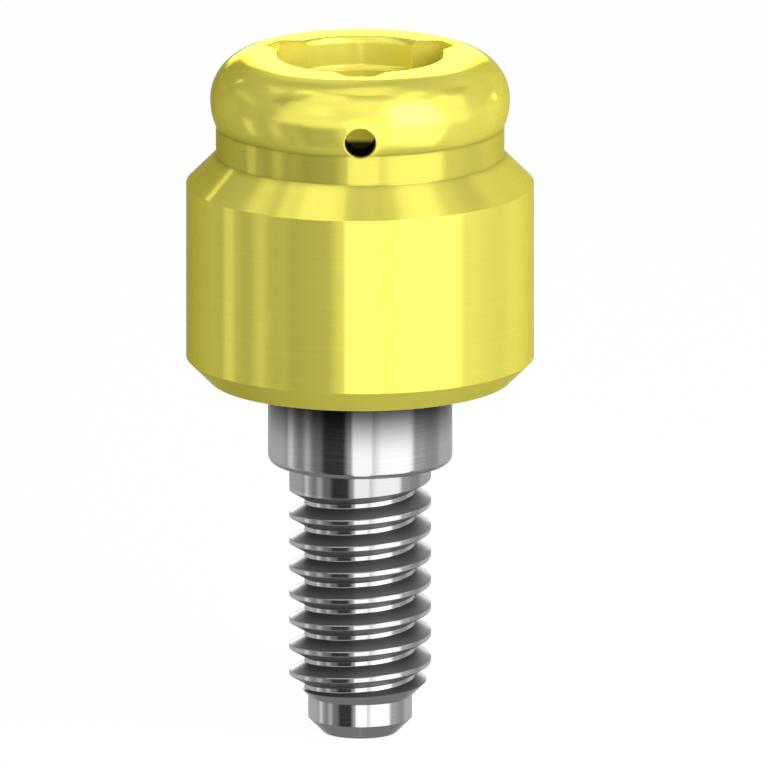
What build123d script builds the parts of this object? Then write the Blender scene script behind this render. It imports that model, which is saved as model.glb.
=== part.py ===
from build123d import *
import math
import os

# Stud abutment for a removable denture, turned from one piece of titanium alloy.
# Millimetres, Z along the axis and up towards the head. The origin is the middle of the seat,
# the flat under the collar that lands on the implant. The vent hole faces -Y.

# Collar, the wide cuff that stands in the gum
COLLAR_D = 4.55
COLLAR_H = 2.617
SEAT_CHAMFER = 0.298

# Neck, and the rounded head that the denture's cap snaps over
NECK_H = 0.388
HEAD_D = 3.922
HEAD_UNDERSIDE_W = 0.074
HEAD_UNDERSIDE_H = 0.349
HEAD_CROWN_W = 0.477
HEAD_CROWN_H = 0.594

# Round socket in the head, with a rounded rim, a narrow ledge and a deeper bore below it
SOCKET_D = 2.112
SOCKET_DEPTH = 0.43
SOCKET_RIM_W = 0.064
SOCKET_RIM_H = 0.1
LEDGE_W = 0.096
BORE_DEPTH = 1.405
CORNER_R = 0.06

# Three-cornered drive recess broached through the socket, one blunted corner towards the vent
DRIVE_FLAT_FROM_AXIS = 0.805
DRIVE_CORNER_FROM_AXIS = 1.315
DRIVE_DEPTH = 1.15

# Vent hole through the wall of the head
VENT_D = 0.402
VENT_BELOW_TOP = 0.76

# Pilot, the plain spigot that centres the abutment in the implant
PILOT_D = 2.41
PILOT_L = 1.113
PILOT_EDGE_R = 0.096

# Screw, with a right-hand thread of unified form and a plain tip
SCREW_L = 4.735
THREAD_D = 1.854
THREADS_PER_INCH = 72
CREST_SHARE = 0.18
ROOT_SHARE = 0.165
FLANK_ANGLE = 30
LAND_H = 0.302
TIP_D = 1.358
TIP_L = 0.495
TIP_CHAMFER = 0.197

# Radii and heights of the head, with the shoulder under its neck sloping at 45 degrees
HEAD_R = HEAD_D / 2
NECK_R = HEAD_R - HEAD_UNDERSIDE_W
TOP_RING_R = HEAD_R - HEAD_CROWN_W
NECK_FOOT_Z = COLLAR_H + COLLAR_D / 2 - NECK_R
NECK_TOP_Z = NECK_FOOT_Z + NECK_H
HEAD_WIDEST_Z = NECK_TOP_Z + HEAD_UNDERSIDE_H
TOP_Z = HEAD_WIDEST_Z + HEAD_CROWN_H

# Thread form, and where the tip's 45 degree lead-in cone ends
MM_PER_INCH = 25.4
PITCH = MM_PER_INCH / THREADS_PER_INCH
ROOT_FLAT = ROOT_SHARE * PITCH
GROOVE_MOUTH = (1 - CREST_SHARE) * PITCH
FLANK_SLOPE = math.tan(math.radians(FLANK_ANGLE))
THREAD_DEPTH = (GROOVE_MOUTH - ROOT_FLAT) / (2 * FLANK_SLOPE)
ROOT_R = THREAD_D / 2 - THREAD_DEPTH
TIP_CONE_FOOT_Z = TIP_L - SCREW_L

# How far a cutting shape reaches past the surface that it cuts, and how round ones are placed
OVERCUT = 0.1
FROM_BASE = (Align.CENTER, Align.CENTER, Align.MIN)


def turned_blank():
    """The whole outside as it comes off the lathe, before the thread, socket and vent are cut."""
    screw = Polyline(
        (0, -SCREW_L),
        (TIP_D / 2 - TIP_CHAMFER, -SCREW_L),
        (TIP_D / 2, TIP_CHAMFER - SCREW_L),
        (TIP_D / 2, TIP_CONE_FOOT_Z),
        (THREAD_D / 2, TIP_CONE_FOOT_Z + (THREAD_D - TIP_D) / 2),
        (THREAD_D / 2, -PILOT_L),
        (PILOT_D / 2 - PILOT_EDGE_R, -PILOT_L),
    )
    pilot_edge = TangentArc(screw @ 1, (PILOT_D / 2, PILOT_EDGE_R - PILOT_L), tangent=(1, 0))
    collar = Polyline(
        pilot_edge @ 1,
        (PILOT_D / 2, 0),
        (COLLAR_D / 2 - SEAT_CHAMFER, 0),
        (COLLAR_D / 2, SEAT_CHAMFER),
        (COLLAR_D / 2, COLLAR_H),
        (NECK_R, NECK_FOOT_Z),
        (NECK_R, NECK_TOP_Z),
    )
    widest = (HEAD_R, HEAD_WIDEST_Z)
    underside = TangentArc(widest, collar @ 1, tangent=(0, -1))
    crown = TangentArc(widest, (TOP_RING_R, TOP_Z), tangent=(0, 1))
    closing = Polyline(crown @ 1, (0, TOP_Z), (0, -SCREW_L))
    outline = screw + pilot_edge + collar + underside + crown + closing
    return revolve(make_face(Plane.XZ * outline), Axis.Z)


def thread_groove():
    """The thread's groove, cut up from the tip's cone to a round end at the back of the land."""
    mouth_r = THREAD_D / 2 + OVERCUT
    half_root = ROOT_FLAT / 2
    half_mouth = half_root + (mouth_r - ROOT_R) * FLANK_SLOPE
    front_z = -PILOT_L - LAND_H - GROOVE_MOUTH / 2
    upper_z = front_z + PITCH / 2
    lower_z = TIP_CONE_FOOT_Z - PITCH
    rise = upper_z - lower_z
    section = Polyline(
        (ROOT_R, lower_z - half_root),
        (mouth_r, lower_z - half_mouth),
        (mouth_r, lower_z + half_mouth),
        (ROOT_R, lower_z + half_root),
        close=True,
    )
    helix = Helix(pitch=PITCH, height=rise, radius=ROOT_R, center=(0, 0, lower_z))
    groove = sweep(make_face(Plane.XZ * section), path=helix, is_frenet=True)
    round_end = Cone(half_root, half_mouth, mouth_r - ROOT_R, align=FROM_BASE)
    end_at_back = Plane(origin=(0, ROOT_R, upper_z), z_dir=(0, 1, 0))
    return Rot(Z=90 - 360 * rise / PITCH) * groove, end_at_back * round_end


def socket():
    """The round socket, with its rounded rim, and the bore under its ledge."""
    socket_r = SOCKET_D / 2
    ledge_z = TOP_Z - SOCKET_DEPTH
    bore_r = socket_r - LEDGE_W
    floor_z = TOP_Z - BORE_DEPTH
    rim = EllipticalCenterArc(
        (socket_r + SOCKET_RIM_W, TOP_Z - SOCKET_RIM_H),
        SOCKET_RIM_W,
        SOCKET_RIM_H,
        start_angle=90,
        arc_size=90,
    )
    wall = Line((socket_r, TOP_Z - SOCKET_RIM_H), (socket_r, ledge_z + CORNER_R))
    ledge_corner = TangentArc(wall @ 1, (socket_r - CORNER_R, ledge_z), tangent=(0, -1))
    bore = Polyline(ledge_corner @ 1, (bore_r, ledge_z), (bore_r, floor_z + CORNER_R))
    floor_corner = TangentArc(bore @ 1, (bore_r - CORNER_R, floor_z), tangent=(0, -1))
    closing = Polyline(
        floor_corner @ 1,
        (0, floor_z),
        (0, TOP_Z + OVERCUT),
        (socket_r + SOCKET_RIM_W, TOP_Z + OVERCUT),
        (socket_r + SOCKET_RIM_W, TOP_Z),
    )
    outline = rim + wall + ledge_corner + bore + floor_corner + closing
    return revolve(make_face(Plane.XZ * outline), Axis.Z)


def drive_recess():
    """An equilateral triangle, its corners cut off square, pressed down from the top."""
    triangle = RegularPolygon(2 * DRIVE_FLAT_FROM_AXIS, 3, rotation=-90)
    blunting = RegularPolygon(2 * DRIVE_CORNER_FROM_AXIS, 3, rotation=90)
    return Pos(Z=TOP_Z - DRIVE_DEPTH) * extrude(triangle & blunting, DRIVE_DEPTH + OVERCUT)


def vent_hole():
    """A radial hole from the bore out through the front of the head."""
    inner_end = Plane(origin=(0, 0, TOP_Z - VENT_BELOW_TOP), z_dir=(0, -1, 0))
    return inner_end * Cylinder(VENT_D / 2, HEAD_R + OVERCUT, align=FROM_BASE)


def abutment():
    """The finished part, one solid."""
    groove, groove_end = thread_groove()
    return turned_blank() - groove - groove_end - socket() - drive_recess() - vent_hole()


os.makedirs("parts", exist_ok=True)
export_step(abutment(), "parts/abutment.step")
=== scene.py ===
"""Looks of a stud abutment for a removable denture.

The abutment is one turned piece of titanium alloy: a coated collar and head above the seat, and a
bare pilot, screw and tip below it. Lengths of the part are millimetres until a mesh is made, and
everything in the scene is metres. The axis is Z, the seat is at height 0 and the vent faces -Y.
"""

import logging
import math
from abc import ABC, abstractmethod
from collections.abc import Callable
from dataclasses import dataclass, field, replace
from enum import Enum
from functools import reduce

import bpy
import numpy as np
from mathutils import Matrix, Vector


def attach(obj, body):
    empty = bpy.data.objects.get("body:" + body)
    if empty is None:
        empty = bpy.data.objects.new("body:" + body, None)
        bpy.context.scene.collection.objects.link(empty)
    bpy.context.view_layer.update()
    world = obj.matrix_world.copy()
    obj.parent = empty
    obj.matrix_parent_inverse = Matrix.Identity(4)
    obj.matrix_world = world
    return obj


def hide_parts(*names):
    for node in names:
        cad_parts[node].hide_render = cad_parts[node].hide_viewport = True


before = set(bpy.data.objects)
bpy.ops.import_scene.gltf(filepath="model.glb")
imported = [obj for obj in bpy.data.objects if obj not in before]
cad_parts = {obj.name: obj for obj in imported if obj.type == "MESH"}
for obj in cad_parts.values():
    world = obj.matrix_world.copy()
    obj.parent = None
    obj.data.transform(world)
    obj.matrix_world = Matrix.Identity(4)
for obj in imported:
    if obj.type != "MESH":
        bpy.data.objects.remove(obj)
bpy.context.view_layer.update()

LOG = logging.getLogger("abutment")
MM = 0.001
MM_PER_INCH = 25.4
COLUMNS = 256
NORMALS = "turned_normal"
BACK = np.array((0.0, 1.0, 0.0))
UP = np.array((0.0, 0.0, 1.0))

Pair = tuple[float, float]
Point = tuple[float, float, float]
Colour = tuple[float, float, float]
Socket = bpy.types.NodeSocket


class Slot(Enum):
    """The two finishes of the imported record."""

    COATED = "coated_head"
    BARE = "bare_screw"


@dataclass(frozen=True)
class Station:
    """A point of an outline, with the direction that faces out of the metal there.

    Radius and height are in millimetres, and the direction has length 1.
    """

    radius: float
    height: float
    out: float
    up: float


Edge = tuple[Station, Station]


@dataclass(frozen=True)
class Corner:
    """A corner of an outline, rounded by a small edge break or fillet, in millimetres."""

    radius: float
    height: float
    rounding: float = 0.0


@dataclass
class Outline:
    """The outline of a turned or swept shape, walked with the metal on the left."""

    runs: list[list[Station]] = field(default_factory=list)

    def straight(self, start: Pair, end: Pair) -> None:
        """Adds a straight run.

        Args:
            start: Radius and height of its first point.
            end: Radius and height of its last point.
        """
        run_r, run_h = end[0] - start[0], end[1] - start[1]
        length = math.hypot(run_r, run_h)
        out, up = run_h / length, -run_r / length
        self.runs.append([Station(*start, out, up), Station(*end, out, up)])

    def arc(
        self, centre: Pair, radii: Pair, span: Pair, steps: int, hollow: bool = False
    ) -> None:
        """Adds an arc of a circle or an upright ellipse.

        Args:
            centre: Radius and height of its centre.
            radii: Its half width and half height.
            span: First and last angle in degrees, from the outward direction towards up.
            steps: How many straight pieces stand for it.
            hollow: True where the metal is outside the arc.
        """
        side = -1 if hollow else 1
        run = []
        for angle in np.radians(np.linspace(span[0], span[1], steps + 1)):
            cos, sin = math.cos(angle), math.sin(angle)
            out, up = cos / radii[0], sin / radii[1]
            length = side * math.hypot(out, up)
            at = (centre[0] + radii[0] * cos, centre[1] + radii[1] * sin)
            run.append(Station(*at, out / length, up / length))
        self.runs.append(run)

    def corners(self, corners: list[Corner], steps: int = 4) -> None:
        """Adds straight runs between corners, with each rounding worked in.

        Args:
            corners: The corners in order. The first and last aren't rounded.
            steps: How many straight pieces stand for each rounding.
        """
        points = [np.array((corner.radius, corner.height)) for corner in corners]
        start = points[0]
        for before, corner, here, after in zip(points, corners[1:], points[1:], points[2:]):
            arrive = (here - before) / np.linalg.norm(here - before)
            leave = (after - here) / np.linalg.norm(after - here)
            turn = math.atan2(arrive[0] * leave[1] - arrive[1] * leave[0], arrive @ leave)
            if corner.rounding == 0:
                self.straight(tuple(start), tuple(here))
                start = here
                continue
            setback = corner.rounding * math.tan(abs(turn) / 2)
            self.straight(tuple(start), tuple(here - setback * arrive))
            side = 1 if turn > 0 else -1
            facing = np.array((arrive[1], -arrive[0]))
            centre = here - setback * arrive - side * corner.rounding * facing
            first = math.degrees(math.atan2(side * facing[1], side * facing[0]))
            span = (first, first + math.degrees(turn))
            rounding = (corner.rounding, corner.rounding)
            self.arc(tuple(centre), rounding, span, steps, hollow=side < 0)
            start = here + setback * leave
        self.straight(tuple(start), tuple(points[-1]))

    def edges(self) -> list[Edge]:
        """Gives the outline's short straight pieces in order."""
        return [pair for run in self.runs for pair in zip(run, run[1:])]


@dataclass
class Shell:
    """A closed mesh in the making, in millimetres, with its own normal at each face corner.

    Outlines are walked so that every face looks out of the metal.
    """

    points: list[Point] = field(default_factory=list)
    faces: list[tuple[int, ...]] = field(default_factory=list)
    normals: list[Point] = field(default_factory=list)

    def ring(self, points: np.ndarray) -> list[int]:
        """Adds points and gives their numbers.

        Args:
            points: One row of three coordinates for each point.

        Returns:
            The numbers of the new points.
        """
        first = len(self.points)
        self.points.extend(map(tuple, points))
        return list(range(first, first + len(points)))

    def face(self, corners: list[int], normals: list[np.ndarray]) -> None:
        """Adds one face.

        Args:
            corners: Its points in order.
            normals: Which way the finished surface faces at each of them.
        """
        self.faces.append(tuple(corners))
        self.normals.extend(map(tuple, normals))

    def strip(
        self,
        low: list[int],
        high: list[int],
        low_normals: np.ndarray,
        high_normals: np.ndarray,
        closed: bool = True,
    ) -> None:
        """Adds the faces between two rows of points, or between a row and one point.

        Args:
            low: Points of the first row.
            high: Points of the second row.
            low_normals: Normals at the first row, one for each column.
            high_normals: Normals at the second row, one for each column.
            closed: True where the rows go all the way round.
        """
        columns = max(len(low), len(high))
        for here in range(columns if closed else columns - 1):
            there = (here + 1) % columns
            corners, normals = [], []
            for row, facing, in_order in (
                (low, low_normals, (here, there)),
                (high, high_normals, (there, here)),
            ):
                for column in in_order[: len(row)]:
                    corners.append(row[column if len(row) > 1 else 0])
                    normals.append(facing[column])
            self.face(corners, normals)

    def sweep(
        self,
        edges: list[Edge],
        rows: list[list[int]],
        facing: Callable[[Station], np.ndarray],
        closed: bool = True,
    ) -> None:
        """Adds the faces that the edges of an outline leave behind them.

        Args:
            edges: The outline's edges.
            rows: The points of each of its stations.
            facing: Gives the normals of a station, one for each point of its row.
            closed: True where the rows go all the way round.
        """
        for (low, high), low_row, high_row in zip(edges, rows, rows[1:]):
            self.strip(low_row, high_row, facing(low), facing(high), closed)

    def to_object(self, name: str) -> bpy.types.Object:
        """Makes the Blender object.

        Args:
            name: Name of the object and its mesh.

        Returns:
            The object, in the scene, in metres.
        """
        mesh = bpy.data.meshes.new(name)
        mesh.from_pydata(np.array(self.points) * MM, [], self.faces)
        layer = mesh.attributes.new(NORMALS, "FLOAT_VECTOR", "CORNER")
        layer.data.foreach_set("vector", np.array(self.normals).ravel())
        made = bpy.data.objects.new(name, mesh)
        bpy.context.scene.collection.objects.link(made)
        return made


def joined(edges: list[Edge]) -> list[Station]:
    """Gives the stations that edges in order join."""
    return [edges[0][0]] + [high for _, high in edges]


def unit(vectors: np.ndarray) -> np.ndarray:
    """Gives vectors of length 1 with the same directions."""
    return vectors / np.linalg.norm(vectors, axis=1)[:, None]


def turned(outline: Outline) -> Shell:
    """Turns an outline round the axis.

    Args:
        outline: From the axis round to the axis again.

    Returns:
        The closed shell.
    """
    shell, edges = Shell(), outline.edges()
    angles = np.arange(COLUMNS) * 2 * math.pi / COLUMNS
    around = np.stack([np.cos(angles), np.sin(angles), 0 * angles], axis=1)
    rows = []
    for station in joined(edges):
        columns = around if station.radius else around[:1]
        rows.append(shell.ring(columns * station.radius + UP * station.height))
    shell.sweep(edges, rows, lambda station: around * station.out + UP * station.up)
    return shell


def cut(body: bpy.types.Object, cutter: bpy.types.Object) -> None:
    """Cuts one closed mesh out of another and throws the cutter away.

    Args:
        body: The object that is cut.
        cutter: The object that is cut out of it.
    """
    modifier = body.modifiers.new("cut", "BOOLEAN")
    modifier.operation = "DIFFERENCE"
    modifier.solver = "MANIFOLD"
    modifier.object = cutter
    evaluated = body.evaluated_get(bpy.context.evaluated_depsgraph_get())
    mesh = bpy.data.meshes.new_from_object(evaluated)
    body.modifiers.clear()
    body.data, spent = mesh, body.data
    mesh.name = spent.name
    bpy.data.meshes.remove(spent)
    bpy.data.objects.remove(cutter)


def shade_as_turned(piece: bpy.types.Object) -> None:
    """Gives each face corner the normal of the true surface, and drops the layer that held it.

    Args:
        piece: An object whose mesh still has that layer.
    """
    mesh = piece.data
    normals = np.zeros(len(mesh.loops) * 3)
    mesh.attributes[NORMALS].data.foreach_get("vector", normals)
    mesh.shade_smooth()
    mesh.normals_split_custom_set(unit(normals.reshape(-1, 3)).tolist())
    mesh.attributes.remove(mesh.attributes[NORMALS])


@dataclass
class NodeBench:
    """A node tree, with short calls to lay nodes on it."""

    tree: bpy.types.NodeTree

    def feed(self, node: bpy.types.Node, values: dict[str | int, object]) -> None:
        """Links sockets into a node's inputs, or sets the inputs to plain values.

        Args:
            node: The node.
            values: A socket, number or colour for each input, by its name or place.
        """
        for name, value in values.items():
            socket = node.inputs[name]
            if isinstance(value, Socket):
                self.tree.links.new(value, socket)
            else:
                socket.default_value = (*value, 1.0) if socket.type == "RGBA" else value

    def node(
        self, kind: str, values: dict[str | int, object] | None = None, **settings: object
    ) -> bpy.types.Node:
        """Adds a node.

        Args:
            kind: Its type, without the word ShaderNode.
            values: What its inputs get, by name or place.
            settings: Its properties by name.

        Returns:
            The node.
        """
        made = self.tree.nodes.new("ShaderNode" + kind)
        for name, value in settings.items():
            setattr(made, name, value)
        self.feed(made, values or {})
        return made

    def math(self, operation: str, *values: object) -> Socket:
        """Adds a Math node and gives its result."""
        return self.node("Math", dict(enumerate(values)), operation=operation).outputs[0]

    def product(self, *factors: object) -> Socket:
        """Multiplies two or more sockets and numbers."""
        return reduce(lambda first, second: self.math("MULTIPLY", first, second), factors)

    def distance(self, across: Socket, along: Socket) -> Socket:
        """Gives the length of a flat vector from its two parts."""
        squares = [self.product(part, part) for part in (across, along)]
        return self.math("SQRT", self.math("ADD", *squares))

    def ramp(self, value: Socket, zero_at: float, one_at: float) -> Socket:
        """Adds a smooth step, which is 0 up to one value and 1 from the other."""
        values = {0: value, 1: zero_at, 2: one_at}
        return self.node("MapRange", values, interpolation_type="SMOOTHSTEP").outputs[0]

    def blend(self, factor: Socket | float, low: object, high: object) -> Socket:
        """Mixes two numbers, the first at factor 0 and the second at factor 1."""
        return self.node("Mix", {0: factor, 2: low, 3: high}, data_type="FLOAT").outputs[0]

    def tint(self, factor: Socket, low: object, high: object) -> Socket:
        """Mixes two colours, the first at factor 0 and the second at factor 1."""
        return self.node("Mix", {0: factor, 6: low, 7: high}, data_type="RGBA").outputs[2]

    def darken(self, colour: Socket, share: Socket) -> Socket:
        """Mixes a share of black into a colour."""
        return self.tint(share, colour, (0.0, 0.0, 0.0))

    def seen(self) -> Socket:
        """Gives 1 to rays from the camera and through glass, and 0 to all others."""
        rays = self.node("LightPath").outputs
        return self.math("MAXIMUM", rays["Is Camera Ray"], rays["Is Transmission Ray"])

    def place(self) -> tuple[Socket, ...]:
        """Finds the place on the part.

        Returns:
            X, Y, Z and the distance from the axis, in millimetres.
        """
        metres = self.node("TexCoord").outputs["Object"]
        scaled = self.node("VectorMath", {"Vector": metres, "Scale": 1 / MM}, operation="SCALE")
        x, y, z = self.node("SeparateXYZ", {0: scaled.outputs[0]}).outputs
        return x, y, z, self.distance(x, y)


@dataclass(frozen=True)
class TurnedMetal(ABC):
    """A metal surface as a lathe leaves it: fine lines round the axis, and slight clouding.

    Lengths are millimetres, heights are counted from the seat, and colours are linear. A pair of
    lengths or slopes gives where something is still absent and where it is full.
    """

    name: str
    colour: Colour
    shade: Colour
    edge_tint: Colour
    metallic: float
    specular: float
    line_spacing: float
    line_depth: float
    roughness: float = 0.12
    roughness_spread: float = 0.05
    anisotropy: float = 0.5
    quarter_turn: float = 0.25
    cloud_size: float = 1.1
    cloud_detail: float = 3.0
    line_detail: float = 1.0
    line_contrast: float = 0.6
    line_share: float = 0.65
    radius_share: float = 2.3

    @abstractmethod
    def finish_places(self, bench: NodeBench, colour: Socket, rough: Socket) -> dict[str, Socket]:
        """Works out the finish from place to place on the part.

        Args:
            bench: The material's nodes.
            colour: The colour of the turned surface.
            rough: The roughness of the turned surface.

        Returns:
            The base colour, metal share and roughness, by the names of the shader's inputs.
        """

    def material(self) -> bpy.types.Material:
        """Makes the material.

        Returns:
            The material, with procedural lines, clouding and roughness.
        """
        made = bpy.data.materials.new(self.name)
        made.use_nodes = True
        bench = NodeBench(made.node_tree)
        _, _, height, radius = bench.place()
        lines = bench.node(
            "TexNoise",
            {
                "W": bench.math("MULTIPLY_ADD", radius, self.radius_share, height),
                "Scale": 1 / self.line_spacing,
                "Detail": self.line_detail,
                "Roughness": self.line_contrast,
            },
            noise_dimensions="1D",
        ).outputs[0]
        clouds = bench.node(
            "TexNoise",
            {
                "Vector": bench.node("TexCoord").outputs["Object"],
                "Scale": 1 / (self.cloud_size * MM),
                "Detail": self.cloud_detail,
            },
            noise_dimensions="3D",
        ).outputs[0]
        mixed = bench.blend(self.line_share, clouds, lines)
        lowest = self.roughness - self.roughness_spread / 2
        rough = bench.math("MULTIPLY_ADD", mixed, self.roughness_spread, lowest)
        colour = bench.tint(mixed, self.shade, self.colour)
        relief = bench.node(
            "Bump", {"Strength": 1.0, "Distance": self.line_depth * MM, "Height": lines}
        )
        tangent = bench.node("Tangent", direction_type="RADIAL", axis="Z")
        shader = made.node_tree.nodes["Principled BSDF"]
        finish = {
            "Normal": relief.outputs[0],
            "Tangent": tangent.outputs[0],
            "Specular IOR Level": self.specular,
            "Specular Tint": self.edge_tint,
            "Anisotropic": self.anisotropy,
            "Anisotropic Rotation": self.quarter_turn,
        }
        bench.feed(shader, finish | self.finish_places(bench, colour, rough))
        return made


@dataclass(frozen=True, kw_only=True)
class CoatedMetal(TurnedMetal):
    """The coated metal, with painted shade on the neck and in thin dark lines at its foot and top,
    and a matt broached socket.

    Where the bore and the vent are deep, its colour is painted shade: near black, rough and not
    metallic.
    """

    socket_radius: float
    socket_rim: Pair
    socket_colour: Colour
    socket_metallic: float
    socket_roughness: float
    socket_matt: Pair
    deep: Pair
    deep_shade_colour: Colour
    deep_roughness: float
    vent_height: float
    vent_radius: float
    vent_mouth: Pair
    vent_end: float
    neck_foot: Pair
    neck_top: Pair
    neck_shade: float
    crease_shade_lines: tuple[Pair, ...]
    crease_width: float
    crease_shade: float

    def finish_places(self, bench: NodeBench, colour: Socket, rough: Socket) -> dict[str, Socket]:
        """Works out the finish, with the socket's own values, and painted shade in the vent, the
        deep bore, the neck and the crease lines.

        Args:
            bench: The material's nodes.
            colour: The colour of the turned surface.
            rough: The roughness of the turned surface.

        Returns:
            The base colour, metal share and roughness, by the names of the shader's inputs.
        """
        x, y, height, radius = bench.place()
        near_axis = bench.math("LESS_THAN", radius, self.socket_radius)
        inside = bench.product(near_axis, bench.ramp(height, *self.socket_rim))
        # Painted shade: deep in the bore and inside the vent the surface turns near black, rough
        # and not metallic.
        deep = bench.product(inside, bench.ramp(height, *self.deep))
        off_vent = bench.distance(x, bench.math("SUBTRACT", height, self.vent_height))
        vent = bench.product(
            bench.math("LESS_THAN", off_vent, self.vent_radius),
            bench.math("LESS_THAN", y, self.vent_end),
            bench.ramp(y, *self.vent_mouth),
        )
        dark = bench.math("MAXIMUM", deep, vent)

        # Painted shade: the neck under the head is darkened, and thin dark lines are painted at its
        # foot and top, where shade falls in the corners.
        in_neck = [bench.ramp(height, *end) for end in (self.neck_foot, self.neck_top)]
        colour = bench.darken(colour, bench.product(*in_neck, self.neck_shade))
        for crease_radius, crease_height in self.crease_shade_lines:
            across = bench.math("SUBTRACT", radius, crease_radius)
            off_crease = bench.distance(across, bench.math("SUBTRACT", height, crease_height))
            crease = bench.ramp(off_crease, self.crease_width, 0.0)
            colour = bench.darken(colour, bench.product(crease, self.crease_shade))
        colour = bench.tint(inside, colour, self.socket_colour)

        matt = bench.ramp(height, *self.socket_matt)
        socket_metallic = bench.blend(matt, self.socket_metallic, 0.0)
        metallic = bench.blend(inside, self.metallic, socket_metallic)
        rough = bench.blend(inside, rough, self.socket_roughness)
        return {
            "Base Color": bench.tint(dark, colour, self.deep_shade_colour),
            "Metallic": bench.blend(dark, metallic, 0.0),
            "Roughness": bench.blend(dark, rough, self.deep_roughness),
        }


NITRIDE_COAT = CoatedMetal(
    name="nitride_coat",
    colour=(0.98, 0.905, 0.148),
    shade=(0.88, 0.81, 0.128),
    edge_tint=(0.6, 0.56, 0.3),
    metallic=0.73,
    specular=0.0,
    line_spacing=0.05,
    line_depth=0.0005,
    socket_radius=1.4,
    socket_rim=(4.331, 4.236),
    socket_colour=(0.94, 0.868, 0.17),
    socket_metallic=0.62,
    socket_roughness=0.2,
    socket_matt=(4.0, 3.3),
    # Painted shade: near black, rough and not metallic deep in the bore and inside the vent.
    deep=(3.0, 2.925),
    deep_shade_colour=(0.004, 0.004, 0.003),
    deep_roughness=0.9,
    vent_height=3.576,
    vent_radius=0.203,
    vent_mouth=(-1.95, -1.78),
    vent_end=-1.26,
    # Painted shade: the neck darkened, and thin dark lines at its foot and top.
    neck_foot=(2.92, 3.04),
    neck_top=(3.5, 3.38),
    neck_shade=0.22,
    crease_shade_lines=((1.887, 3.005), (1.887, 3.393)),
    crease_width=0.045,
    crease_shade=0.18,
)


@dataclass(frozen=True, kw_only=True)
class ScrewMetal(TurnedMetal):
    """The bare metal, with rougher, less metallic thread flanks that carry painted shade, darker on
    the upward ones and towards the groove's bottom.

    The metal mirrors the panels and so takes no shadow from them: its colour holds the collar's
    soft shadow on the pilot and the pilot's on the land above the thread.
    """

    shadow_radius: float
    shadow: Pair
    shadow_depth: float
    land_radius: float
    land_shade: float
    thread_top: float
    groove: Pair
    groove_shade: float
    upper_slope: Pair
    upper_flank_shade: Colour
    lower_slope: Pair
    lower_flank_shade: Colour
    flank_metallic: float
    flank_roughness: float

    def finish_places(self, bench: NodeBench, colour: Socket, rough: Socket) -> dict[str, Socket]:
        """Works out the finish, with the painted shadow on the pilot and the land, and the flanks'
        own roughness and painted shade.

        Args:
            bench: The material's nodes.
            colour: The colour of the turned surface.
            rough: The roughness of the turned surface.

        Returns:
            The base colour, metal share and roughness, by the names of the shader's inputs.
        """
        _, _, height, radius = bench.place()
        on_pilot = bench.math("LESS_THAN", radius, self.shadow_radius)
        shadow = bench.product(on_pilot, bench.ramp(height, *self.shadow), self.shadow_depth)
        colour = bench.darken(colour, shadow)
        on_land = bench.product(
            bench.math("LESS_THAN", radius, self.land_radius),
            bench.math("GREATER_THAN", height, self.thread_top),
        )
        colour = bench.darken(colour, bench.product(on_land, self.land_shade))

        # Painted shade on the thread: upward flanks take a dark colour and downward ones a less
        # dark one, darker still towards the groove's bottom, where the turns shade each other.
        facing = bench.node("SeparateXYZ", {0: bench.node("TexCoord").outputs["Normal"]})
        on_thread = bench.math("LESS_THAN", height, self.thread_top)
        flanks = []
        for slope, flank_shade_colour in (
            (self.upper_slope, self.upper_flank_shade),
            (self.lower_slope, self.lower_flank_shade),
        ):
            flanks.append(bench.product(on_thread, bench.ramp(facing.outputs["Z"], *slope)))
            colour = bench.tint(flanks[-1], colour, flank_shade_colour)
        flank = bench.math("MAXIMUM", *flanks)
        deep = bench.product(bench.ramp(radius, *self.groove), flank, self.groove_shade)
        return {
            "Base Color": bench.darken(colour, deep),
            "Metallic": bench.blend(flank, self.metallic, self.flank_metallic),
            "Roughness": bench.blend(flank, rough, self.flank_roughness),
        }


BARE_TITANIUM = ScrewMetal(
    name="bare_titanium",
    colour=(0.95, 0.945, 0.94),
    shade=(0.86, 0.855, 0.85),
    edge_tint=(1.0, 1.0, 1.0),
    metallic=1.0,
    specular=0.5,
    line_spacing=0.045,
    line_depth=0.0006,
    shadow_radius=1.22,
    shadow=(-0.85, -0.1),
    shadow_depth=0.95,
    land_radius=0.94,
    land_shade=0.16,
    thread_top=-1.42,
    groove=(0.9, 0.727),
    groove_shade=0.5,
    # Painted shade: the thread's flanks are darkened, the upward ones most.
    upper_slope=(0.3, 0.65),
    upper_flank_shade=(0.26, 0.26, 0.258),
    lower_slope=(-0.73, -0.82),
    lower_flank_shade=(0.36, 0.36, 0.357),
    flank_metallic=0.88,
    flank_roughness=0.3,
)
GROUND_TITANIUM = replace(
    BARE_TITANIUM, name="ground_titanium", colour=(0.91, 0.905, 0.90), shade=(0.82, 0.815, 0.81)
)


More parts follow.
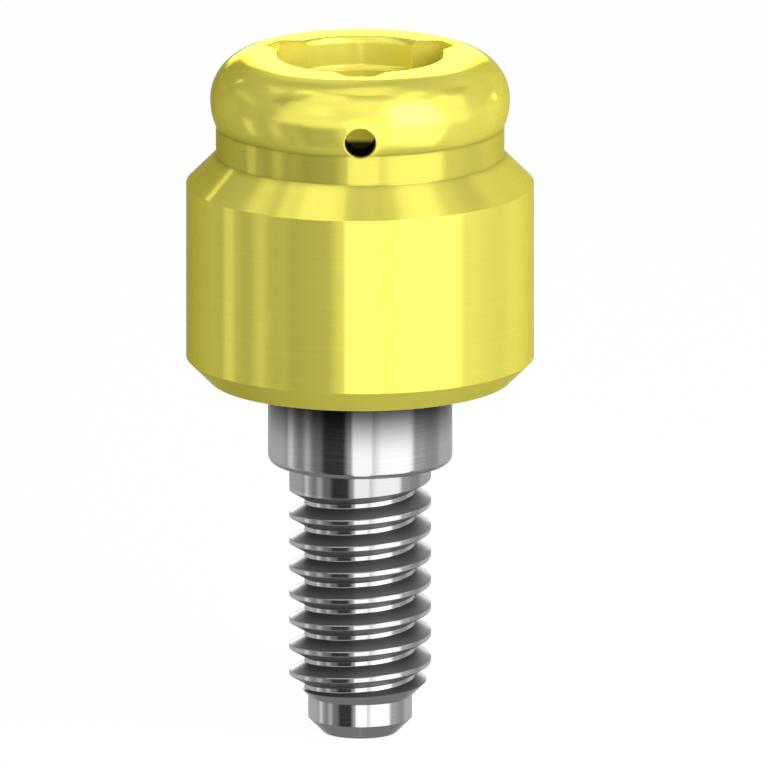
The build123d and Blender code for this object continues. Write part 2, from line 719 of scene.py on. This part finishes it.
@dataclass
class Head:
    """The coated upper part: collar, shoulder, neck and snap head. Sizes are millimetres."""

    collar_r: float = 2.275
    collar_h: float = 2.617
    seat_chamfer: float = 0.298
    neck_r: float = 1.887
    neck_h: float = 0.388
    head_r: float = 1.961
    underside: Pair = (0.074, 0.349)
    crown: Pair = (0.477, 0.594)
    socket_r: float = 1.056
    socket_depth: float = 0.43
    rim: Pair = (0.064, 0.1)
    ledge_w: float = 0.096
    bore_depth: float = 1.405
    socket_corner: float = 0.06
    drive_flat: float = 0.805
    drive_corner: float = 1.315
    drive_depth: float = 1.15
    vent_r: float = 0.201
    vent_below_top: float = 0.76
    edge_break: float = 0.014
    vent_break: float = 0.022
    drive_edge: float = 0.02
    seat_faces: float = 0.0001
    arc_steps: int = 12
    rim_steps: int = 10

    @property
    def neck_foot(self) -> float:
        """Height where the sloping shoulder meets the neck."""
        return self.collar_h + self.collar_r - self.neck_r

    @property
    def neck_top(self) -> float:
        """Height where the neck meets the head's underside."""
        return self.neck_foot + self.neck_h

    @property
    def widest(self) -> float:
        """Height where the head is widest."""
        return self.neck_top + self.underside[1]

    @property
    def top(self) -> float:
        """Height of the flat ring round the socket."""
        return self.widest + self.crown[1]

    @staticmethod
    def bulge(size: Pair) -> float:
        """Gives the radius of an arc that starts upright and spans this width and height."""
        return (size[0] ** 2 + size[1] ** 2) / (2 * size[0])

    def outline(self) -> Outline:
        """Gives the turned outline, outside and socket in one.

        Returns:
            The outline from the middle of the seat to the middle of the socket's floor.
        """
        made = Outline()
        made.corners(
            [
                Corner(0, 0),
                Corner(self.collar_r - self.seat_chamfer, 0, self.edge_break),
                Corner(self.collar_r, self.seat_chamfer, self.edge_break),
                Corner(self.collar_r, self.collar_h, self.edge_break),
                Corner(self.neck_r, self.neck_foot, self.edge_break),
                Corner(self.neck_r, self.neck_top),
            ]
        )
        below, above = self.bulge(self.underside), self.bulge(self.crown)
        low = -math.degrees(math.asin(self.underside[1] / below))
        high = math.degrees(math.asin(self.crown[1] / above))
        made.arc((self.head_r - below, self.widest), (below, below), (low, 0), self.arc_steps)
        made.arc((self.head_r - above, self.widest), (above, above), (0, high), 3 * self.arc_steps)
        rim_r, rim_h = self.rim
        rim_foot = self.top - rim_h
        made.straight((self.head_r - self.crown[0], self.top), (self.socket_r + rim_r, self.top))
        made.arc((self.socket_r + rim_r, rim_foot), (rim_r, rim_h), (90, 180), self.rim_steps)
        ledge = self.top - self.socket_depth
        bore_r = self.socket_r - self.ledge_w
        floor = self.top - self.bore_depth
        made.corners(
            [
                Corner(self.socket_r, rim_foot),
                Corner(self.socket_r, ledge, self.socket_corner),
                Corner(bore_r, ledge, self.edge_break / 2),
                Corner(bore_r, floor, self.socket_corner),
                Corner(0, floor),
            ]
        )
        return made

    def skin(self, height: float) -> Station:
        """Gives the outside of the neck and head at a height.

        Args:
            height: Height above the seat.

        Returns:
            The station of the outside there.
        """
        if height < self.neck_top:
            return Station(self.neck_r, height, 1, 0)
        bulge = self.bulge(self.underside if height < self.widest else self.crown)
        rise = height - self.widest
        reach = math.sqrt(bulge**2 - rise**2)
        return Station(self.head_r - bulge + reach, height, reach / bulge, rise / bulge)

    def drive_cutter(self) -> bpy.types.Object:
        """Makes the three-cornered recess, one blunted corner towards the vent.

        Returns:
            The cutter, with rounded corners and a broken top edge.
        """
        half = (2 * self.drive_flat - self.drive_corner) * math.tan(math.radians(30))
        corners = []
        for angle in np.radians((-90, 30, 150)):
            cos, sin = math.cos(angle), math.sin(angle)
            for side in (-half, half):
                x, y = self.drive_corner * cos - side * sin, self.drive_corner * sin + side * cos
                corners.append(Corner(x, y, self.drive_edge))
        section = Outline()
        section.corners([corners[-1], *corners, corners[0]])
        stations = [station for rounding in section.runs[1::2] for station in rounding]
        points = np.array([(station.radius, station.height, 0) for station in stations])
        facing = np.array([(station.out, station.up, 0) for station in stations])
        above = 0.08
        shell = Shell()
        floor, lip, end = [
            shell.ring(points + facing * grown + UP * height)
            for height, grown in (
                (self.top - self.drive_depth, 0.0),
                (self.top - self.edge_break, 0.0),
                (self.top + above, self.edge_break + above),
            )
        ]
        tilted = (UP - facing) / math.sqrt(2)
        shell.strip(floor, lip, -facing, -facing)
        shell.strip(lip, end, tilted, tilted)
        shell.face(floor[::-1], [UP] * len(floor))
        shell.face(end, [UP] * len(end))
        return shell.to_object("drive_cutter")

    def vent_cutter(self) -> bpy.types.Object:
        """Makes the radial vent, with a small break that follows the head's curved outside.

        Returns:
            The cutter.
        """
        columns, steps, last = 96, 5, 70.0
        inner_end, flare, past_skin = -1.0, 0.12, 0.05
        middle = self.top - self.vent_below_top
        angles = np.arange(columns) * 2 * math.pi / columns
        around = np.stack([np.cos(angles), 0 * angles, np.sin(angles)], axis=1)

        def on_skin(grown: float, sink: float, angle: float) -> tuple[np.ndarray, np.ndarray]:
            """Gives a point over the vent's edge and the skin's normal there."""
            x = grown * math.cos(angle)
            station = self.skin(middle + grown * math.sin(angle))
            y = -math.sqrt(station.radius**2 - x**2)
            out = np.array((x, y)) * station.out / station.radius
            return np.array((x, y + sink, station.height)), np.array((*out, station.up))

        rows = [(around * self.vent_r + (0, inner_end, middle), -around)]
        for turn in np.radians(np.linspace(0, last, steps + 1)):
            grown = self.vent_r + self.vent_break * (1 - math.cos(turn))
            sink = self.vent_break * (1 - math.sin(turn))
            pairs = [on_skin(grown, sink, angle) for angle in angles]
            points, skin = (np.array(part) for part in zip(*pairs))
            rows.append((points, unit(math.sin(turn) * skin - math.cos(turn) * around)))
        rows.append((rows[-1][0] + around * flare - BACK * past_skin, rows[-1][1]))
        shell = Shell()
        rings = [shell.ring(points) for points, _ in rows]
        for low, high, (_, low_normals), (_, high_normals) in zip(rings, rings[1:], rows, rows[1:]):
            shell.strip(low, high, low_normals, high_normals)
        shell.face(rings[0][::-1], list(around))
        shell.face(rings[-1], list(around))
        return shell.to_object("vent_cutter")

    def build(self, coat: bpy.types.Material, bare: bpy.types.Material) -> bpy.types.Object:
        """Builds and dresses the piece.

        Args:
            coat: The coating, on everything above the seat.
            bare: The bare metal, on the seat itself.

        Returns:
            The finished piece.
        """
        piece = turned(self.outline()).to_object("coated_head")
        cut(piece, self.drive_cutter())
        cut(piece, self.vent_cutter())
        shade_as_turned(piece)
        piece.data.materials.clear()
        piece.data.materials.append(coat)
        piece.data.materials.append(bare)
        for face in piece.data.polygons:
            face.material_index = 1 if face.center.z < self.seat_faces * MM else 0
        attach(piece, "root")
        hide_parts("abutment")
        return piece


@dataclass
class Screw:
    """The bare lower part: pilot, right-hand thread and tip. Sizes are millimetres."""

    pilot_r: float = 1.205
    pilot_l: float = 1.113
    pilot_edge: float = 0.096
    length: float = 4.735
    thread_r: float = 0.927
    threads_per_inch: int = 72
    crest_share: float = 0.18
    root_share: float = 0.165
    flank_angle: float = 30
    land_h: float = 0.302
    tip_r: float = 0.679
    tip_l: float = 0.495
    tip_chamfer: float = 0.197
    edge_break: float = 0.012
    crest_break: float = 0.006
    root_fillet: float = 0.01

    @property
    def pitch(self) -> float:
        """Rise of the thread in one turn."""
        return MM_PER_INCH / self.threads_per_inch

    @property
    def half_root(self) -> float:
        """Half the width of the groove's flat bottom."""
        return self.root_share * self.pitch / 2

    @property
    def half_mouth(self) -> float:
        """Half the width of the groove at the crest."""
        return (1 - self.crest_share) * self.pitch / 2

    @property
    def root_r(self) -> float:
        """Radius of the groove's bottom."""
        slope = math.tan(math.radians(self.flank_angle))
        return self.thread_r - (self.half_mouth - self.half_root) / slope

    def outline(self) -> Outline:
        """Gives the turned outline before the thread is cut.

        Returns:
            The outline from the middle of the tip's end to the middle of the seat.
        """
        cone_foot = self.tip_l - self.length
        cone_top = cone_foot + self.thread_r - self.tip_r
        made = Outline()
        made.corners(
            [
                Corner(0, -self.length),
                Corner(self.tip_r - self.tip_chamfer, -self.length, self.edge_break),
                Corner(self.tip_r, self.tip_chamfer - self.length, self.edge_break),
                Corner(self.tip_r, cone_foot, self.edge_break),
                Corner(self.thread_r, cone_top, self.edge_break / 2),
                Corner(self.thread_r, -self.pilot_l, self.edge_break),
                Corner(self.pilot_r, -self.pilot_l, self.pilot_edge),
                Corner(self.pilot_r, 0),
                Corner(0, 0),
            ],
            steps=6,
        )
        return made

    def groove_section(self) -> Outline:
        """Gives the groove's section, with its height counted from its own middle.

        Returns:
            The outline from the lower side of the mouth round to the upper side.
        """
        past, outside = self.crest_break, 0.05
        slope = math.tan(math.radians(self.flank_angle))
        broken = math.tan(math.radians(2 * self.flank_angle))
        flank_end = self.half_mouth - past * slope
        lip = flank_end + 2 * past * broken
        top = self.thread_r + outside
        corners = [
            Corner(top, -lip),
            Corner(self.thread_r + past, -lip),
            Corner(self.thread_r - past, -flank_end),
            Corner(self.root_r, -self.half_root, self.root_fillet),
            Corner(self.root_r, self.half_root, self.root_fillet),
            Corner(self.thread_r - past, flank_end),
            Corner(self.thread_r + past, lip),
            Corner(top, lip),
        ]
        made = Outline()
        made.corners(corners, steps=3)
        return made

    def thread_cutter(self) -> bpy.types.Object:
        """Makes the thread's groove, from under the tip's cone up to a round end at the back.

        Returns:
            The cutter.
        """
        per_turn = 192
        upper = -self.pilot_l - self.land_h - self.half_mouth + self.pitch / 2
        lower = self.tip_l - self.length - self.pitch
        total = (upper - lower) / self.pitch
        turns = np.linspace(0, total, round(total * per_turn) + 1)
        angles = math.pi / 2 - 2 * math.pi * turns
        out = np.stack([np.cos(angles), np.sin(angles), 0 * angles], axis=1)
        around = np.cross(UP, out)

        def facing(station: Station) -> np.ndarray:
            """Gives the normals of the helical surface along a station's path."""
            lean = -station.up * self.pitch / (2 * math.pi * station.radius)
            return unit(station.out * out + lean * around + station.up * UP)

        shell, edges = Shell(), self.groove_section().edges()
        stations = joined(edges)
        rows = []
        for station in stations:
            rise = upper - self.pitch * turns + station.height
            rows.append(shell.ring(out * station.radius + np.outer(rise, UP)))
        outside = facing(stations[0])
        shell.sweep(edges, rows, facing, closed=False)
        shell.strip(rows[-1], rows[0], outside, outside, closed=False)
        shell.face([row[-1] for row in rows][::-1], [UP] * len(rows))
        self.round_end(shell, [row[0] for row in rows], edges, upper)
        return shell.to_object("thread_cutter")

    def round_end(self, shell: Shell, end: list[int], edges: list[Edge], middle: float) -> None:
        """Closes the groove's upper end, at the back, by turning half its section round.

        Args:
            shell: The cutter in the making.
            end: The section's points there.
            edges: The section's edges in order.
            middle: Height of the groove's middle there.
        """
        steps = 16
        half = len(end) // 2
        angles = np.linspace(math.pi, 0, steps + 1)
        swing = np.stack([-np.sin(angles), 0 * angles, np.cos(angles)], axis=1)
        rows = []
        for index, station in enumerate(joined(edges[half:])):
            points = swing[1:-1] * station.height + (0, station.radius, middle)
            rows.append([end[half - 1 - index], *shell.ring(points), end[half + index]])

        def facing(station: Station) -> np.ndarray:
            """Gives the normals of the round end along a station's path."""
            return swing * station.up + BACK * station.out

        shell.sweep(edges[half:], rows, facing, closed=False)
        for cap in (rows[0][::-1], rows[-1]):
            shell.face(cap, [BACK] * len(cap))

    def build(self, bare: bpy.types.Material, ground: bpy.types.Material) -> bpy.types.Object:
        """Builds and dresses the piece.

        Args:
            bare: The metal of the thread and tip.
            ground: The pilot's metal, a little darker than the thread's.

        Returns:
            The finished piece.
        """
        piece = turned(self.outline()).to_object("bare_screw")
        cut(piece, self.thread_cutter())
        shade_as_turned(piece)
        piece.data.materials.clear()
        piece.data.materials.append(bare)
        piece.data.materials.append(ground)
        for face in piece.data.polygons:
            face.material_index = 1 if face.center.z > -self.pilot_l * MM else 0
        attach(piece, "root")
        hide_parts("abutment")
        return piece


@dataclass(frozen=True)
class Panel:
    """A soft-edged light or dark card far off, as the metal mirrors it.

    Azimuth 0 is towards the camera and 90 to its right, and angles are degrees. Strength 1 is
    white. Fade is the softness of the upper and lower edges where it isn't that of the sides.
    """

    name: str
    azimuth: float
    half_width: float
    elevation: float
    half_height: float
    softness: float
    strength: float
    fade: float | None = None

    def mask(self, bench: NodeBench, azimuth: Socket, elevation: Socket) -> Socket:
        """Gives 1 inside the panel and 0 outside it, with a soft edge.

        Args:
            bench: The world's nodes.
            azimuth: The ray's azimuth in degrees.
            elevation: The ray's elevation in degrees.

        Returns:
            The mask.
        """
        across = bench.math("WRAP", bench.math("SUBTRACT", azimuth, self.azimuth), -180.0, 180.0)
        upwards = bench.math("SUBTRACT", elevation, self.elevation)
        masks = []
        for offset, half, softness in (
            (across, self.half_width, self.softness),
            (upwards, self.half_height, self.fade or self.softness),
        ):
            distance = bench.math("ABSOLUTE", offset)
            masks.append(bench.ramp(distance, half + softness, half - softness))
        return bench.product(*masks)


@dataclass(frozen=True)
class Lamp:
    """A soft lamp that points at the part, with its angles in degrees and its power in watts."""

    name: str
    azimuth: float
    elevation: float
    power: float


@dataclass
class Studio:
    """The room round the abutment: cards, lamps, floor and camera, in metres and degrees."""

    room_strength: float = 0.4
    unevenness: float = 26.0
    uneven_above: Pair = (-8.0, 6.0)
    wave_scale: float = 3.2
    wave_detail: float = 2.0
    wave_shift: float = 7.3
    panels: tuple[Panel, ...] = (
        Panel("ground", 0, 181, -80, 46, 9, 0.23),
        Panel("ceiling", 0, 181, 90, 13, 8, 0.93),
        Panel("ceiling gap", 0, 60, 75, 2.5, 2.5, 0.05),
        Panel("ring light left", -70, 44, 66, 6, 4, 1.15),
        Panel("ring light right", 88, 30, 65, 6, 4, 1.0),
        Panel("back shade left", -158, 26, 66, 11, 8, 0.26),
        Panel("back shade right", 138, 38, 58, 13, 8, 0.27),
        Panel("left wall", -150, 40, -5, 16, 6, 0.5),
        Panel("left streak", -108, 14, 22, 6, 6, 0.62),
        Panel("left spot", -138, 3, 29, 3, 3, 1.6),
        Panel("left patch", -109, 12, 50, 4, 5, 0.85),
        Panel("far left light", -168, 12, 44, 14, 8, 0.7),
        Panel("left strip", -98, 5, -19, 9, 3, 0.8),
        Panel("left gap", -81, 5, -10, 26, 4, 0.27),
        Panel("left shade", -77, 12, 49, 7, 6, 0.28),
        Panel("left shade spot", -78, 8, 41, 7, 5, 0.1),
        Panel("narrow strip", -70, 3.5, -19, 9, 3, 0.55),
        Panel("broad front light", -22, 43, 30, 36, 8, 0.9),
        Panel("front light seam", -13, 11, 27, 12, 8, 0.72),
        Panel("front light core", -36, 14, 32, 9, 8, 1.15),
        Panel("grey card", -54, 10, -22, 18, 5, 0.19),
        Panel("dark card", -33, 15.5, -24, 17, 4, 0.025),
        Panel("right wall", 150, 34, -5, 16, 8, 0.55),
        Panel("right mid light", 82, 15, 34, 16, 6, 0.9),
        Panel("right low shade", 120, 20, 20, 14, 9, 0.3),
        Panel("right shade", 111, 11, 42, 8, 5, 0.08),
        Panel("right glow", 80, 14, 5, 15, 6, 0.8),
        Panel("right gap", 100, 12, -26, 16, 6, 0.35),
        Panel("right spot", 128, 3, 6, 4, 3, 1.9),
        Panel("back light", 180, 11, 20, 18, 5, 6.5),
        Panel("key light left", 3, 13, -24, 34, 1.5, 1.38, 12),
        Panel("key light gap", 20, 4, -18, 26, 3, 1.0, 12),
        Panel("key light", 46, 24, 10, 50, 5, 1.4),
        Panel("key light core", 45, 18, 22, 26, 8, 3.2),
    )
    lamps: tuple[Lamp, ...] = (
        Lamp("front_lamp", 30, 16, 0.034),
        Lamp("right_lamp", 60, 50, 0.01),
    )
    lamp_distance: float = 0.06
    lamp_size: float = 0.03
    view_elevation: float = 12.96
    view_width: float = 0.010039
    view_centre: Point = (0.000312, 0.0, -0.0000885)
    view_distance: float = 0.12
    floor_z: float = -0.004735
    floor_size: float = 0.4
    floor_colour: Colour = (0.85, 0.85, 0.85)
    floor_white: float = 0.97
    clipping: Pair = (0.001, 2.0)

    def light_room(self) -> None:
        """Makes the world: cards for the metal and the light, and plain white for the camera."""
        world = bpy.data.worlds.new("studio")
        bpy.context.scene.world = world
        world.use_nodes = True
        bench = NodeBench(world.node_tree)
        bench.tree.nodes.clear()
        ray = bench.node("TexCoord").outputs["Generated"]
        x, y, z = bench.node("SeparateXYZ", {0: ray}).outputs
        azimuth = bench.math("ARCTAN2", x, bench.math("MULTIPLY", y, -1.0))
        azimuth = bench.math("DEGREES", azimuth)
        elevation = bench.math("DEGREES", bench.math("ARCSINE", z))
        above = bench.ramp(elevation, *self.uneven_above)
        uneven = []
        for angle, shift in ((azimuth, 0.0), (elevation, self.wave_shift)):
            values = {"Vector": ray, "W": shift}
            values |= {"Scale": self.wave_scale, "Detail": self.wave_detail}
            wave = bench.node("TexNoise", values, noise_dimensions="4D").outputs[0]
            sway = bench.product(bench.math("SUBTRACT", wave, 0.5), above, self.unevenness)
            uneven.append(bench.math("ADD", angle, sway))
        strength: Socket | float = self.room_strength
        for panel in self.panels:
            strength = bench.blend(panel.mask(bench, *uneven), strength, panel.strength)
            strength.node.label = panel.name
        shown = bench.blend(bench.seen(), strength, 1.0)
        background = bench.node("Background", {"Strength": shown})
        bench.node("OutputWorld", {"Surface": background.outputs[0]})

    def hang_lamp(self, lamp: Lamp) -> None:
        """Hangs a soft lamp, which the metal doesn't mirror.

        Args:
            lamp: Where it hangs and how strong it is.
        """
        data = bpy.data.lights.new(lamp.name, "AREA")
        data.size = self.lamp_size
        data.energy = lamp.power
        hung = bpy.data.objects.new(lamp.name, data)
        bpy.context.scene.collection.objects.link(hung)
        azimuth, elevation = math.radians(lamp.azimuth), math.radians(lamp.elevation)
        level = math.cos(elevation)
        out = Vector((math.sin(azimuth) * level, -math.cos(azimuth) * level, math.sin(elevation)))
        hung.location = out * self.lamp_distance
        hung.rotation_euler = out.to_track_quat("Z", "Y").to_euler()
        hung.visible_glossy = False

    def lay_floor(self) -> None:
        """Lays a pale floor that shows white to the camera and keeps a soft shadow."""
        half = self.floor_size / 2
        corners = [(-half, -half), (half, -half), (half, half), (-half, half)]
        mesh = bpy.data.meshes.new("floor")
        mesh.from_pydata([(x, y, self.floor_z) for x, y in corners], [], [(0, 1, 2, 3)])
        floor = bpy.data.objects.new("floor", mesh)
        bpy.context.scene.collection.objects.link(floor)
        made = bpy.data.materials.new("pale_floor")
        made.use_nodes = True
        bench = NodeBench(made.node_tree)
        bench.tree.nodes.clear()
        matt = bench.node("BsdfDiffuse", {"Color": self.floor_colour})
        white = bench.node("Emission", {"Strength": 1.0})
        share = bench.product(bench.seen(), self.floor_white)
        mixed = bench.node("MixShader", {0: share, 1: matt.outputs[0], 2: white.outputs[0]})
        bench.node("OutputMaterial", {"Surface": mixed.outputs[0]})
        mesh.materials.append(made)
        floor.visible_glossy = False

    def set_camera(self) -> None:
        """Sets the camera at the photograph's angle, with parallel rays."""
        data = bpy.data.cameras.new("camera")
        data.type = "ORTHO"
        data.ortho_scale = self.view_width
        data.clip_start, data.clip_end = self.clipping
        camera = bpy.data.objects.new("camera", data)
        bpy.context.scene.collection.objects.link(camera)
        tilt = math.radians(self.view_elevation)
        back = Vector((0, -math.cos(tilt), math.sin(tilt)))
        camera.location = Vector(self.view_centre) + back * self.view_distance
        camera.rotation_euler = (math.radians(90) - tilt, 0, 0)
        bpy.context.scene.camera = camera

    def build(self) -> None:
        """Builds the whole studio."""
        self.light_room()
        for lamp in self.lamps:
            self.hang_lamp(lamp)
        self.lay_floor()
        self.set_camera()
        bpy.context.scene.view_settings.view_transform = "Standard"


def main() -> None:
    """Builds every piece in order and reports each."""
    logging.basicConfig(level=logging.INFO, format="%(name)s: %(message)s")
    finishes = (NITRIDE_COAT, BARE_TITANIUM, GROUND_TITANIUM)
    coat, bare, ground = (finish.material() for finish in finishes)
    for piece in (Head().build(coat, ground), Screw().build(bare, ground)):
        size = ", ".join(f"{side / MM:.3f}" for side in piece.dimensions)
        LOG.info("%s: %d faces, %s mm", piece.name, len(piece.data.polygons), size)
    Studio().build()
    LOG.info("studio: floor, world and camera")


if __name__ == "__main__":
    main()
